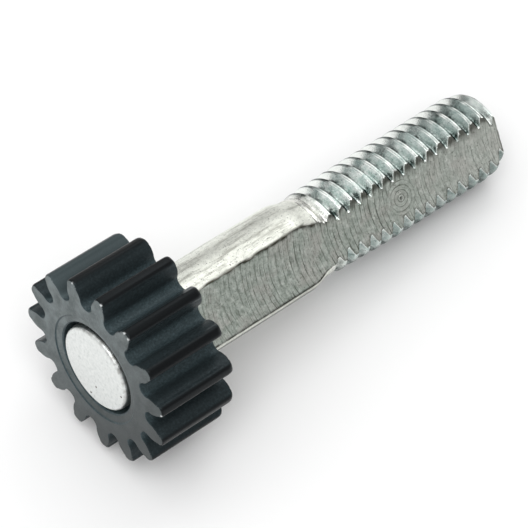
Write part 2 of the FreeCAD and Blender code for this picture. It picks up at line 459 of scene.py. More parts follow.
def zinc_on_turned_steel():
    """Bright zinc plating over turned steel: a pale, slightly warm metal whose fine orange
    peel and rubbed streaks break up its highlights."""
    material, tree, shader, place = new_material("zinc_on_turned_steel", {"Metallic": 1.0})
    # Orange peel, 0.4 mm across, and streaks rubbed along the stud, 0.7 mm wide
    peel = add(tree, "ShaderNodeTexNoise", {"Scale": 2.4, "Detail": 7.0, "Roughness": 0.75},
               {"Vector": place})
    drawn = add(tree, "ShaderNodeMapping", {"Scale": (0.2, 1.5, 1.5)}, {"Vector": place})
    streak = add(tree, "ShaderNodeTexNoise", {"Scale": 1.0, "Detail": 6.0, "Roughness": 0.72},
                 {"Vector": drawn.outputs["Vector"]})
    colour = add(tree, "ShaderNodeValToRGB", {
        "stops": [(0.3, "#c6c8be"), (0.42, "#e6e8df"), (0.55, "#f6f8ef")]},
        {"Fac": peel.outputs["Fac"]})
    rubbed = add(tree, "ShaderNodeValToRGB", {"stops": [(0.38, 0.75), (0.5, 0.0)]},
                 {"Fac": streak.outputs["Fac"]})
    streaked = add(tree, "ShaderNodeMix", {"data_type": "RGBA", 7: linear("#a3a399")},
                   {0: rubbed.outputs["Color"], 6: colour.outputs["Color"]})
    # Pits in the plating, 0.1 mm across
    pit = add(tree, "ShaderNodeTexNoise", {"Scale": 8.0, "Detail": 2.0, "Roughness": 0.5},
              {"Vector": place})
    pitted = add(tree, "ShaderNodeValToRGB", {"stops": [(0.3, 0.85), (0.38, 0.0)]},
                 {"Fac": pit.outputs["Fac"]})
    dotted = add(tree, "ShaderNodeMix", {"data_type": "RGBA", 7: linear("#6c6c62")},
                 {0: pitted.outputs["Color"], 6: streaked.outputs[2]})
    # A dark burr along the flat's edges, partly painted shade in its crevice, with painted shade
    # along the outline under the flat and a faint band of painted reflection over the top
    burr_and_painted_light_mask = add(tree, "ShaderNodeAttribute", {"attribute_name": "burr_and_painted_light"})
    with_burr_and_painted_light = add(tree, "ShaderNodeMix", {"data_type": "RGBA", 7: linear("#45433a")},
               {0: burr_and_painted_light_mask.outputs["Fac"], 6: dotted.outputs[2]})
    rough = add(tree, "ShaderNodeMapRange", {"From Min": 0.3, "From Max": 0.65, "To Min": 0.42,
                                             "To Max": 0.3}, {"Value": peel.outputs["Fac"]})
    bump = add(tree, "ShaderNodeBump", {"Distance": 0.00006}, {"Height": peel.outputs["Fac"]})
    join(tree, shader, {"Base Color": with_burr_and_painted_light.outputs[2], "Roughness": rough.outputs["Result"],
                        "Normal": bump.outputs["Normal"]})
    return material


def zinc_on_turned_nose():
    """Bright zinc over the faced nose: almost white and smooth, with dark pits, and browned
    along part of its rim."""
    material, tree, shader, place = new_material("zinc_on_turned_nose", {"Metallic": 1.0})
    # Orange peel, 0.3 mm across
    peel = add(tree, "ShaderNodeTexNoise", {"Scale": 3.0, "Detail": 6.0, "Roughness": 0.7},
               {"Vector": place})
    colour = add(tree, "ShaderNodeValToRGB", {
        "stops": [(0.3, "#c4c8c5"), (0.42, "#dcdfdd"), (0.66, "#e9ebe9")]},
        {"Fac": peel.outputs["Fac"]})
    dirt_and_painted_shade = add(tree, "ShaderNodeAttribute", {"attribute_name": "dirt_and_painted_shade"})
    dirty_and_shaded = add(tree, "ShaderNodeMix", {"data_type": "RGBA", 7: linear("#4d463c")},
                {0: dirt_and_painted_shade.outputs["Fac"], 6: colour.outputs["Color"]})
    rough = add(tree, "ShaderNodeMapRange", {"From Min": 0.35, "From Max": 0.65, "To Min": 0.42,
                                             "To Max": 0.32}, {"Value": peel.outputs["Fac"]})
    bump = add(tree, "ShaderNodeBump", {"Distance": 0.00002}, {"Height": peel.outputs["Fac"]})
    join(tree, shader, {"Base Color": dirty_and_shaded.outputs[2], "Roughness": rough.outputs["Result"],
                        "Normal": bump.outputs["Normal"]})
    return material


def zinc_on_rolled_thread():
    """Bright zinc over a rolled thread: smooth burnished metal with a blue-green cast, warmer
    at the neck and mottled with stains, with painted shade in the roots and painted highlights
    on the crests' lips."""
    material, tree, shader, place = new_material("zinc_on_rolled_thread", {"Metallic": 1.0})
    # Stains in the passivation, 0.9 mm across and finer
    stain = add(tree, "ShaderNodeTexNoise", {"Scale": 1.1, "Detail": 8.0, "Roughness": 0.78},
                {"Vector": place})
    cool = add(tree, "ShaderNodeValToRGB", {
        "stops": [(0.34, "#869c97"), (0.44, "#bccdc8"), (0.55, "#dfe8e4"), (0.68, "#f3f7f4")]},
        {"Fac": stain.outputs["Fac"]})
    warm = add(tree, "ShaderNodeValToRGB", {
        "stops": [(0.32, "#a9a9a0"), (0.44, "#dcdcd4"), (0.56, "#f3f2ec")]},
        {"Fac": stain.outputs["Fac"]})
    parts = add(tree, "ShaderNodeSeparateXYZ", links={"Vector": place})
    along = add(tree, "ShaderNodeMapRange", {
        "interpolation_type": "SMOOTHSTEP", "From Min": 22.3, "From Max": 24.6},
        {"Value": parts.outputs["X"]})
    toned = add(tree, "ShaderNodeMix", {"data_type": "RGBA"}, {
        0: along.outputs["Result"], 6: warm.outputs["Color"], 7: cool.outputs["Color"]})
    # The plating is duller toward the stud's end
    far = add(tree, "ShaderNodeMapRange", {"From Min": 26.0, "From Max": 42.0, "To Max": 0.8},
              {"Value": parts.outputs["X"]})
    colour = add(tree, "ShaderNodeMix", {"data_type": "RGBA", 7: linear("#8b9a96")}, {
        0: far.outputs["Result"], 6: toned.outputs[2]})
    # Pits in the plating, 0.15 mm across
    pit = add(tree, "ShaderNodeTexNoise", {"Scale": 6.0, "Detail": 3.0, "Roughness": 0.6},
              {"Vector": place})
    pitted = add(tree, "ShaderNodeValToRGB", {"stops": [(0.31, 0.8), (0.4, 0.0)]},
                 {"Fac": pit.outputs["Fac"]})
    dotted = add(tree, "ShaderNodeMix", {"data_type": "RGBA", 7: linear("#4a5a57")},
                 {0: pitted.outputs["Color"], 6: colour.outputs[2]})
    # Painted shade in the roots, the notches, along the crests' far edges and under the flat, and
    # a dark band of painted reflection over the top
    dirt_and_painted_shade = add(tree, "ShaderNodeAttribute", {"attribute_name": "dirt_and_painted_shade"})
    # The painted shade is broken up, 0.2 mm across
    mottle = add(tree, "ShaderNodeTexNoise", {"Scale": 4.5, "Detail": 5.0, "Roughness": 0.7},
                 {"Vector": place})
    broken = add(tree, "ShaderNodeMapRange", {"From Min": 0.36, "From Max": 0.6,
                                              "To Min": 1.7, "To Max": 0.6},
                 {"Value": mottle.outputs["Fac"]})
    spread = add(tree, "ShaderNodeMath", {"operation": "MULTIPLY", "use_clamp": True},
                 {0: dirt_and_painted_shade.outputs["Fac"], 1: broken.outputs["Result"]})
    dirty_and_shaded = add(tree, "ShaderNodeMix", {"data_type": "RGBA", 7: linear("#242f2c")},
                {0: spread.outputs["Value"], 6: dotted.outputs[2]})
    # Painted highlights on the crests' lips, the near flanks at the back, the rounded end and the
    # flat's torn edge
    burr_and_painted_light_mask = add(tree, "ShaderNodeAttribute", {"attribute_name": "burr_and_painted_light"})
    with_burr_and_painted_light = add(tree, "ShaderNodeMix", {"data_type": "RGBA", 7: linear("#fbfdf9")},
               {0: burr_and_painted_light_mask.outputs["Fac"], 6: dirty_and_shaded.outputs[2]})
    rough = add(tree, "ShaderNodeMapRange", {"From Min": 0.35, "From Max": 0.65, "To Min": 0.26,
                                             "To Max": 0.14}, {"Value": stain.outputs["Fac"]})
    bump = add(tree, "ShaderNodeBump", {"Distance": 0.00003}, {"Height": stain.outputs["Fac"]})
    join(tree, shader, {"Base Color": with_burr_and_painted_light.outputs[2], "Roughness": rough.outputs["Result"],
                        "Normal": bump.outputs["Normal"]})
    return material


def zinc_on_milled_flat():
    """Zinc over a milled face: satin grey-green, ruled by the cutter's arcs and by rings where
    it stopped, scored between them, with a dark torn burr along its edges, partly painted shade,
    and painted shade in the notches of the thread."""
    material, tree, shader, place = new_material("zinc_on_milled_flat", {"Metallic": 1.0})
    level = add(tree, "ShaderNodeMapping", {"Rotation": (-FLAT_TURN, 0.0, 0.0)},
                {"Vector": place})
    middle = add(tree, "ShaderNodeMapping", {"Location": (-SWIRL_X, -SWIRL_ACROSS, 0.0),
                                             "Scale": (1.0, 1.0, 0.0)},
                 {"Vector": level.outputs["Vector"]})
    reach = add(tree, "ShaderNodeVectorMath", {"operation": "LENGTH"},
                {0: middle.outputs["Vector"]})
    rings = add(tree, "ShaderNodeMath", {"operation": "DIVIDE", 1: RING_SPACING},
                {0: reach.outputs["Value"]})
    arcs = add(tree, "ShaderNodeAttribute", {"attribute_name": "arc_phase"})
    near = add(tree, "ShaderNodeMath", {"operation": "LESS_THAN", 1: SWIRL_REACH},
               {0: reach.outputs["Value"]})
    phase = add(tree, "ShaderNodeMix", {"data_type": "FLOAT"}, {
        0: near.outputs["Value"], 2: arcs.outputs["Fac"], 3: rings.outputs["Value"]})
    # Each mark wanders by up to a tenth of a millimetre, over 0.6 mm
    shake = add(tree, "ShaderNodeTexNoise", {"Scale": 1.6, "Detail": 3.0, "Roughness": 0.6},
                {"Vector": place})
    wander = add(tree, "ShaderNodeMath", {"operation": "MULTIPLY_ADD", 1: 0.4},
                 {0: shake.outputs["Fac"], 2: phase.outputs[0]})
    turns = add(tree, "ShaderNodeMath", {"operation": "MULTIPLY", 1: math.tau},
                {0: wander.outputs["Value"]})
    wave = add(tree, "ShaderNodeMath", {"operation": "COSINE"}, {0: turns.outputs["Value"]})
    ruled = add(tree, "ShaderNodeMapRange", {"From Min": 0.72, "From Max": 0.97},
                {"Value": wave.outputs["Value"]})
    parts = add(tree, "ShaderNodeSeparateXYZ", links={"Vector": level.outputs["Vector"]})
    # The cutter marked the steel least beside the gear and at the stud's end, and everywhere in
    # patches 1.4 mm across
    share = add(tree, "ShaderNodeMath", {"operation": "DIVIDE", 1: STUD_LENGTH},
                {0: parts.outputs["X"]})
    light = add(tree, "ShaderNodeValToRGB", {
        "stops": [(0.24, 0.55), (0.42, 1.0), (0.55, 1.0), (0.74, 1.0), (0.84, 0.45)]},
        {"Fac": share.outputs["Value"]})
    patch = add(tree, "ShaderNodeTexNoise", {"Scale": 0.7, "Detail": 4.0, "Roughness": 0.65},
                {"Vector": place})
    depth = add(tree, "ShaderNodeMapRange", {"From Min": 0.38, "From Max": 0.6, "To Min": 0.1,
                                             "To Max": 0.9}, {"Value": patch.outputs["Fac"]})
    cut = add(tree, "ShaderNodeMath", {"operation": "MULTIPLY"},
              {0: ruled.outputs["Result"], 1: depth.outputs["Result"]})
    mark = add(tree, "ShaderNodeMath", {"operation": "MULTIPLY"},
               {0: cut.outputs["Value"], 1: light.outputs["Color"]})
    # Finer scores between the marks, 0.2 mm apart and closer, drawn out along them
    lengthwise = add(tree, "ShaderNodeMath", {"operation": "MULTIPLY", 1: 0.35},
                     {0: parts.outputs["Y"]})
    drawn = add(tree, "ShaderNodeCombineXYZ", links={
        "X": phase.outputs[0], "Y": lengthwise.outputs["Value"]})
    scores = add(tree, "ShaderNodeTexNoise", {"Scale": 2.6, "Detail": 5.0, "Roughness": 0.75},
                 {"Vector": drawn.outputs["Vector"]})
    # Mottled plating, 0.5 mm across and finer
    cloud = add(tree, "ShaderNodeTexNoise", {"Scale": 2.2, "Detail": 6.0, "Roughness": 0.7},
                {"Vector": place})
    colour = add(tree, "ShaderNodeValToRGB", {
        "stops": [(0.32, "#8d958c"), (0.5, "#adb5ad"), (0.68, "#ced4cd")]},
        {"Fac": cloud.outputs["Fac"]})
    # Mauve patches, 2 mm across
    tint = add(tree, "ShaderNodeTexNoise", {"Scale": 0.45, "Detail": 3.0, "Roughness": 0.6},
               {"Vector": place})
    tinted = add(tree, "ShaderNodeMapRange", {"From Min": 0.46, "From Max": 0.62, "To Max": 0.4},
                 {"Value": tint.outputs["Fac"]})
    mauve = add(tree, "ShaderNodeMix", {"data_type": "RGBA", 7: linear("#b9b1ad")},
                {0: tinted.outputs["Result"], 6: colour.outputs["Color"]})
    # The plating is paler toward the stud's end
    far = add(tree, "ShaderNodeMapRange", {"From Min": 28.0, "From Max": 42.0, "To Max": 0.5},
              {"Value": parts.outputs["X"]})
    paler = add(tree, "ShaderNodeMix", {"data_type": "RGBA", 7: linear("#cfd1cb")},
                {0: far.outputs["Result"], 6: mauve.outputs[2]})
    # The scores are dark strokes and bright ones
    scored = add(tree, "ShaderNodeValToRGB", {"stops": [(0.36, 0.6), (0.48, 0.0)]},
                 {"Fac": scores.outputs["Fac"]})
    scratched = add(tree, "ShaderNodeMix", {"data_type": "RGBA", 7: linear("#6f766d")},
                    {0: scored.outputs["Color"], 6: paler.outputs[2]})
    glint = add(tree, "ShaderNodeValToRGB", {"stops": [(0.54, 0.0), (0.66, 0.42)]},
                {"Fac": scores.outputs["Fac"]})
    glinting = add(tree, "ShaderNodeMix", {"data_type": "RGBA", 7: linear("#e4e8e1")},
                   {0: glint.outputs["Color"], 6: scratched.outputs[2]})
    lined = add(tree, "ShaderNodeMix", {"data_type": "RGBA", 7: linear("#575d54")},
                {0: mark.outputs["Value"], 6: glinting.outputs[2]})
    # Pits in the plating, 0.15 mm across
    pit = add(tree, "ShaderNodeTexNoise", {"Scale": 7.0, "Detail": 3.0, "Roughness": 0.6},
              {"Vector": place})
    pitted = add(tree, "ShaderNodeValToRGB", {"stops": [(0.32, 0.7), (0.42, 0.0)]},
                 {"Fac": pit.outputs["Fac"]})
    dotted = add(tree, "ShaderNodeMix", {"data_type": "RGBA", 7: linear("#666c62")},
                 {0: pitted.outputs["Color"], 6: lined.outputs[2]})
    # A dark torn burr along the edges, partly painted shade in its crevice, dark smears below the
    # thread, and painted shade filling the notches above the flat
    burr_and_painted_light = add(tree, "ShaderNodeAttribute", {"attribute_name": "burr_and_painted_light"})
    torn = add(tree, "ShaderNodeMix", {"data_type": "RGBA", 7: linear("#33322a")},
               {0: burr_and_painted_light.outputs["Fac"], 6: dotted.outputs[2]})
    height = add(tree, "ShaderNodeMath", {"operation": "SUBTRACT"},
                 {0: scores.outputs["Fac"], 1: mark.outputs["Value"]})
    bump = add(tree, "ShaderNodeBump", {"Distance": 0.00002}, {"Height": height.outputs["Value"]})
    rough = add(tree, "ShaderNodeMapRange", {"From Min": 0.3, "From Max": 0.7, "To Min": 0.46,
                                             "To Max": 0.36}, {"Value": cloud.outputs["Fac"]})
    join(tree, shader, {"Base Color": torn.outputs[2], "Roughness": rough.outputs["Result"],
                        "Normal": bump.outputs["Normal"]})
    return material


# Pinion


def involute(radius):
    """Involute function, in radians."""
    angle = math.acos(min(BASE_RADIUS / radius, 1.0))
    return math.tan(angle) - angle


def half_tooth():
    """One side of a tooth as (radius, angle from its middle), from the root to the tip."""
    foot = math.pi / (2 * TEETH) - TOOTH_THINNING / (2 * PITCH_RADIUS) + involute(PITCH_RADIUS)
    middle_gap = math.pi / TEETH
    fillet_reach = ROOT_RADIUS + ROOT_ROUND
    fillet_angle = foot + math.asin(ROOT_ROUND / fillet_reach)
    side = [(ROOT_RADIUS, middle_gap)]
    centre = Vector((fillet_reach * math.cos(fillet_angle), fillet_reach * math.sin(fillet_angle)))
    first = math.pi + fillet_angle
    last = foot - math.pi / 2 + 2 * math.pi
    for index in range(ROOT_STEPS + 1):
        turn = first + (last - first) * index / ROOT_STEPS
        point = centre + ROOT_ROUND * Vector((math.cos(turn), math.sin(turn)))
        side.append((point.length, math.atan2(point.y, point.x)))
    high = TIP_RADIUS - TIP_ROUND
    for index in range(FLANK_STEPS + 1):
        radius = BASE_RADIUS + (high - BASE_RADIUS) * index / FLANK_STEPS
        side.append((radius, foot - involute(radius)))
    flank = side[-1][1]
    for index in range(1, TIP_STEPS + 1):
        turn = math.pi / 2 * index / TIP_STEPS
        side.append((high + TIP_ROUND * math.sin(turn),
                     flank - TIP_ROUND * (1.0 - math.cos(turn)) / TIP_RADIUS))
    return side


def teeth_points():
    """The outline of all the teeth as (radius, angle), with one tooth straight up."""
    side = half_tooth()
    points = []
    for index in range(TEETH):
        turn = index * math.tau / TEETH
        points += [(radius, turn - angle) for radius, angle in side]
        points.append((TIP_RADIUS, turn))
        points += [(radius, turn + angle) for radius, angle in reversed(side[1:])]
    return points


def make_pinion():
    """The pinion: the teeth's outline drawn out to the face width, the tips let fall away
    toward both faces, and the bore and its dish turned out of it."""
    ring = []
    for radius, angle in teeth_points():
        ring.append(Vector((0.0, -radius * math.sin(angle), radius * math.cos(angle))))
    piece = outline_piece("moulded_pinion", ring, True)
    edit_all(piece)
    bpy.ops.mesh.edge_face_add()
    for (near, _), (far, _) in zip(TIP_FALL, TIP_FALL[1:]):
        bpy.ops.mesh.extrude_region_move(
            TRANSFORM_OT_translate={"value": (far - near, 0.0, 0.0)})
    bpy.ops.object.mode_set(mode="OBJECT")
    shape = bmesh.new()
    shape.from_mesh(piece.data)
    inner = [face for face in shape.faces if abs(face.normal.x) > 0.9
             and 0.01 < face.calc_center_median().x < FACE_WIDTH - 0.01]
    bmesh.ops.delete(shape, geom=inner, context="FACES_ONLY")
    for vertex in shape.verts:
        radius = reach_of(vertex.co)
        fall = min(TIP_FALL, key=lambda pair: abs(pair[0] - vertex.co.x))[1]
        lowered = 1.0 - fall * step_between(FALL_FROM, TIP_RADIUS, radius) / radius
        vertex.co.y *= lowered
        vertex.co.z *= lowered
    shape.to_mesh(piece.data)
    shape.free()
    clean(piece)
    bore = turned("bore_cutter", BORE, BORE_STEPS)
    finish_modifier(piece, "BOOLEAN", operation="DIFFERENCE", solver="EXACT", object=bore)
    bpy.data.objects.remove(bore)
    return piece


def at_rim(edge):
    """Whether an edge lies between a face of the gear and its teeth."""
    on_face = [abs(face.normal.x) > 0.999 for face in edge.link_faces]
    on_teeth = all(reach_of(corner.co) > ROOT_RADIUS - 0.05 for corner in edge.verts)
    return len(on_face) == 2 and on_face[0] != on_face[1] and on_teeth


def break_rims(piece):
    """Breaks the sharp edges of the teeth at both faces."""
    edit_edges(piece, at_rim)
    bpy.ops.mesh.bevel(offset=RIM_BREAK, offset_type="OFFSET", segments=1,
                       affect="EDGES", clamp_overlap=True)
    close_edit()


# Stud


def crest_height(x):
    """The thread's outer radius along the stud: out of the neck, straight, then rounded off."""
    rise = NECK_RADIUS
    for height, low, high in CREST_RISES:
        rise += height * step_between(low, high, x)
    resting = REST_SLOPE * max(x - REST_FROM, 0.0)
    rounding = ROUND_RATE * max(x - ROUND_FROM, 0.0) ** 2
    return min(rise, CREST_RADIUS - resting - rounding)


def crest_depth(spot):
    """How deep a point of the thread lies under the crests, as a share of the root's depth."""
    return (crest_height(spot.x) - reach_of(spot)) / ROOT_DEPTH


def ripple(x, y, z):
    """How far the surface at the neck is rolled up or down, in ripples along the thread."""
    phase = RIPPLES * (math.tau * x / PITCH - math.atan2(-y, z))
    along = step_between(*RIPPLES_SET_IN, x) * (1.0 - step_between(*RIPPLES_FADE, x))
    return RIPPLE_HEIGHT * math.cos(phase) * along


def thread_profile():
    """One pitch of the rolled thread as (share of depth, x), from crest middle to crest middle."""
    right = [(depth, PITCH - x) for depth, x in reversed(THREAD_SIDE)]
    return THREAD_SIDE + [(1.0, PITCH / 2)] + right


def make_thread():
    """The rolled thread: one pitch of its section screwed along the stud, faded out in ripples
    at the neck and rounded off at the end."""
    first = THREAD_START - 2 * PITCH
    turns = int((STUD_LENGTH - first) / PITCH) + 2
    section = [Vector((first + x, 0.0, CREST_RADIUS - depth * ROOT_DEPTH))
               for depth, x in thread_profile()]
    piece = outline_piece("rolled_thread", section, False)
    finish_modifier(piece, "SCREW", axis="X", angle=math.tau, steps=TURN_STEPS,
                    render_steps=TURN_STEPS, screw_offset=PITCH, iterations=turns)
    clean(piece)
    for vertex in piece.data.vertices:
        x, y, z = vertex.co
        radius = math.hypot(y, z)
        depth = CREST_RADIUS - radius
        wobble = WOBBLE * noise.noise(Vector((x * 1.3, y * 0.9, z * 0.9)))
        fade = step_between(*THREAD_SETS_IN, x)
        height = crest_height(x)
        new = height - depth * fade + wobble * fade
        new = min(new, height + CREST_SPARE) + ripple(x, y, z)
        vertex.co.y *= new / radius
        vertex.co.z *= new / radius
    return piece


def cut_ends(piece):
    """Cuts the thread square at the neck and at the stud's end, and closes the end."""
    edit_all(piece)
    bpy.ops.mesh.bisect(plane_co=(STUD_LENGTH, 0, 0), plane_no=(1, 0, 0), use_fill=True,
                        clear_outer=True, threshold=0.00001)
    bpy.ops.mesh.select_all(action="SELECT")
    bpy.ops.mesh.bisect(plane_co=(THREAD_START, 0, 0), plane_no=(1, 0, 0), use_fill=False,
                        clear_inner=True, threshold=0.00001)
    bpy.ops.object.mode_set(mode="OBJECT")


def make_plain_end():
    """The turned part of the stud: nose, journal, shank, taper and neck. The steel is pushed up
    and down a little along the flat's upper edge."""
    shank = []
    for index in range(SHANK_RINGS + 1):
        x = SHANK_START + (SHANK_END - SHANK_START) * index / SHANK_RINGS
        shank.append((x, SHANK_RADIUS))
    piece = turned("plain_end", JOURNAL + shank + TAPER)
    for vertex in piece.data.vertices:
        x, y, z = vertex.co
        near = 1.0 - step_between(4.0, 14.0, abs(turn_of(vertex.co) - FLAT_TOP))
        along = step_between(FLAT_START, FLAT_START + 1.5, x) * (1.0 - step_between(20.0, 21.0, x))
        swell = SWELL * noise.noise(Vector((x * 0.9, 0.0, 8.0))) * near * along
        radius = max(math.hypot(y, z), 0.001)
        vertex.co.y *= 1.0 + swell / radius
        vertex.co.z *= 1.0 + swell / radius
    return piece


def join_ends(plain, thread):
    """Joins the plain end to the thread by a band of faces between their open rings."""
    make_active(plain)
    thread.select_set(True)
    bpy.ops.object.join()
    edit_edges(plain, lambda edge: edge.is_boundary)
    bpy.ops.mesh.bridge_edge_loops()
    close_edit()
    clean(plain)
    return plain


def arc_phase(x, across):
    """How many of the cutter's arcs lie before a point of the flat. The arcs bulge toward the
    gear, and their spacing drifts."""
    arc = x - across ** 2 / (2 * CUTTER_RADIUS)
    drift = noise.noise(Vector((arc * 0.7, across * 0.15, 1.7)))
    return arc / MARK_SPACING + 0.7 * drift


def cutter_mark(x, across):
    """How far the milled flat lies above or below level, in millimetres: arcs left by the
    cutter along its way, and rings where it stopped and was drawn off."""
    to_swirl = math.hypot(x - SWIRL_X, across - SWIRL_ACROSS)
    if to_swirl < SWIRL_REACH:
        rings = -RING_DEPTH * max(math.cos(math.tau * to_swirl / RING_SPACING), 0.0) ** 2
        pip = -PIP_DEPTH * (1.0 - step_between(0.05, 0.2, to_swirl))
        return rings + pip
    strength = 0.6 + 0.6 * noise.noise(Vector((x * 0.5, across * 0.4, 4.0)))
    groove = max(math.cos(math.tau * arc_phase(x, across)), 0.0) ** 3
    tremble = 0.006 * noise.noise(Vector((x * 2.2, across * 1.1, 9.0)))
    return tremble - MARK_DEPTH * groove * strength


def flat_cutter():
    """The block milled off the stud: a fine grid that holds the cutter's marks, drawn up."""
    length = STUD_LENGTH + 1.0 - FLAT_START
    select_none()
    bpy.ops.mesh.primitive_grid_add(
        x_subdivisions=int(length / CUTTER_CELL), y_subdivisions=int(CUTTER_WIDTH / CUTTER_CELL),
        size=1.0)
    piece = bpy.context.object
    piece.name = "flat_cutter"
    for vertex in piece.data.vertices:
        x = FLAT_START + (vertex.co.x + 0.5) * length
        across = vertex.co.y * CUTTER_WIDTH
        vertex.co = Vector((x, across, FLAT_DISTANCE + cutter_mark(x, across)))
    edit_all(piece)
    bpy.ops.mesh.extrude_region_move(
        TRANSFORM_OT_translate={"value": (0.0, 0.0, CUTTER_HEIGHT)})
    bpy.ops.object.mode_set(mode="OBJECT")
    clean(piece)
    piece.data.transform(Matrix.Rotation(FLAT_TURN, 4, "X"))
    return piece


def sink_pits(piece):
    """Sinks small round pits in the nose."""
    for y, z in PITS:
        select_none()
        bpy.ops.mesh.primitive_ico_sphere_add(subdivisions=2, radius=PIT_RADIUS,
                                              location=(-0.3 * PIT_RADIUS, y, z))
        ball = bpy.context.object
        finish_modifier(piece, "BOOLEAN", operation="DIFFERENCE", solver="EXACT", object=ball)
        bpy.data.objects.remove(ball)


def make_stud():
    """The whole stud: turned end, rolled thread and milled flat, in one closed shell."""
    thread = make_thread()
    cut_ends(thread)
    plain = make_plain_end()
    sink_pits(plain)
    piece = join_ends(plain, thread)
    piece.name = "zinc_plated_stud"
    cutter = flat_cutter()
    finish_modifier(piece, "BOOLEAN", operation="DIFFERENCE", solver="EXACT", object=cutter)
    bpy.data.objects.remove(cutter)
    return piece


def finish_stud(piece):
    """Gives the nose, the shank, the thread and the milled flat their finishes, by where each
    face is, paints their dirt, painted shade and painted highlights, and turns up a ragged burr
    along the flat's edges."""
    for material in (zinc_on_turned_steel(), zinc_on_rolled_thread(), zinc_on_milled_flat(),
                     zinc_on_turned_nose()):
        piece.data.materials.append(material)
    unturn = Matrix.Rotation(-FLAT_TURN, 4, "X")
    straight = unturn.to_3x3()
    on_flat = set()
    beside = set()
    for face in piece.data.polygons:
        middle = unturn @ face.center
        level = middle.x > FLAT_START and abs(middle.z - FLAT_DISTANCE) < 0.08
        if level and (straight @ face.normal).z > 0.8:
            face.material_index = MILLED
            on_flat.update(face.vertices)
            continue
        beside.update(face.vertices)
        if middle.x > THREAD_START + 0.1:
            face.material_index = ROLLED
        elif middle.x < NOSE_END:
            face.material_index = NOSE
        else:
            face.material_index = TURNED
    vertices = piece.data.vertices
    edge = sorted(on_flat & beside)
    finder = kdtree.KDTree(len(edge))
    for index in edge:
        finder.insert(vertices[index].co, index)
    finder.balance()
    phase = piece.data.attributes.new("arc_phase", "FLOAT", "POINT").data
    burr_and_painted_light = piece.data.attributes.new("burr_and_painted_light", "FLOAT", "POINT").data
    dirt_and_painted_shade = piece.data.attributes.new("dirt_and_painted_shade", "FLOAT", "POINT").data
    for index, vertex in enumerate(vertices):
        x, across, height = unturn @ vertex.co
        round_side = index not in on_flat
        if x < NOSE_END:
            dirt_and_painted_shade[index].value = nose_dirt(vertex.co)
        elif FLAT_START < x < THREAD_START and round_side:
            burr_and_painted_light[index].value = shank_painted_shade(vertex.co, across)
        elif x > THREAD_START and round_side:
            dirt_and_painted_shade[index].value = thread_painted_shade(vertex, across)
            if across > 0:
                burr_and_painted_light[index].value = thread_painted_highlight(vertex)
        if abs(height - FLAT_DISTANCE) > 0.3 or x < FLAT_START - 0.5:
            continue
        phase[index].value = arc_phase(x, across)
        gap = finder.find(vertex.co)[2]
        torn = burr_with_painted_light(x, across, gap, not round_side)
        burr_and_painted_light[index].value = max(burr_and_painted_light[index].value, torn)
    turn_back = straight.inverted()
    for index in edge:
        x, across, height = unturn @ vertices[index].co
        vertices[index].co += turn_back @ burr_lift(x, across)


def nose_dirt(spot):
    """How brown the nose is at a point: in the pits, and in patches along its rim."""
    for y, z in PITS:
        if spot.x > 0.005 and math.hypot(spot.y - y, spot.z - z) < PIT_RADIUS:
            return 1.0
    rim = step_between(3.52, 3.72, reach_of(spot))
    turn = math.atan2(-spot.y, spot.z)
    # Browner toward one side of the rim
    toward_one_side = 0.25 + 0.75 * step_between(-0.2, 0.9, math.cos(turn - 0.9))
    patch = patches(Vector((spot.y * 3.5, spot.z * 3.5, 6.0)), 1.3)
    return min(0.5 * rim * toward_one_side * patch, 1.0)


def shank_painted_shade(spot, across):
    """How dark the shank is painted at a point: painted shade along its outline under the flat,
    and a faint band of painted reflection over the top."""
    turn = turn_of(spot)
    if across < 0:
        # Painted shade along the outline under the flat
        return 0.9 * step_between(*SHANK_UNDERSIDE, turn)
    # A faint band of painted reflection over the top
    patch = patches(Vector((spot.x * 0.3, turn * 0.08, 14.0)), 1.0, 0.7)
    return 0.24 * patch * in_painted_band(turn, SHANK_PAINTED_BAND)


def thread_painted_shade(vertex, across):
    """How dark the thread is painted at a point, as painted shade: in the root, in a band of
    painted reflection over the top, along the top of each crest where it turns away at the back,
    in the notches above the flat, and on the far flanks and along the outline under the flat."""
    x = vertex.co.x
    turn = turn_of(vertex.co)
    depth = crest_depth(vertex.co)
    ragged = 0.75 + 0.6 * noise.noise(vertex.co * 1.3)
    root = step_between(0.72, 1.0, depth) * (1.0 - 0.6 * step_between(-14.0, 4.0, turn))
    on_crest = 1.0 - step_between(0.2, 0.45, depth)
    behind = 1.0 - step_between(-28.0, -16.0, turn)
    crest = 1.3 * on_crest * behind * step_between(-0.7, -0.3, vertex.normal.x)
    patch = patches(Vector((x * 0.45, turn * 0.05, 2.0)), 1.0)
    # A dark band of painted reflection along the top
    stain = 0.85 * patch * in_painted_band(turn, THREAD_PAINTED_BAND)
    notch = 0.0
    under = 0.0
    if across > 0:
        notch = (1.0 - step_between(1.9, 2.9, across)) * step_between(0.15, 0.4, depth)
    else:
        under = max(0.85 * step_between(*THREAD_UNDERSIDE, turn),
                    0.45 * step_between(0.1, 0.6, vertex.normal.x),
                    0.38 * step_between(0.08, 0.45, depth))
    dark = max(root, crest, notch, under, stain)
    return min(dark * ragged, 1.0) * step_between(22.3, 23.6, x)


def thread_painted_highlight(vertex):
    """How bright a painted highlight on the thread is at a point: on the lips of each crest over
    the top, on the near flanks at the back, and on the rounded end."""
    turn = turn_of(vertex.co)
    patch = patches(vertex.co * 1.7, 0.9)
    lip = 1.0 - step_between(0.0, 0.12, crest_depth(vertex.co))
    lips = lip * step_between(-26.0, -8.0, turn) * patch
    back = 0.8 * (1.0 - step_between(-38.0, -26.0, turn))
    back *= 1.0 - step_between(-0.6, -0.3, vertex.normal.x)
    end = (0.1 + 0.4 * patch) * step_between(41.0, 41.5, vertex.co.x)
    return min(max(lips, back, end), 1.0)


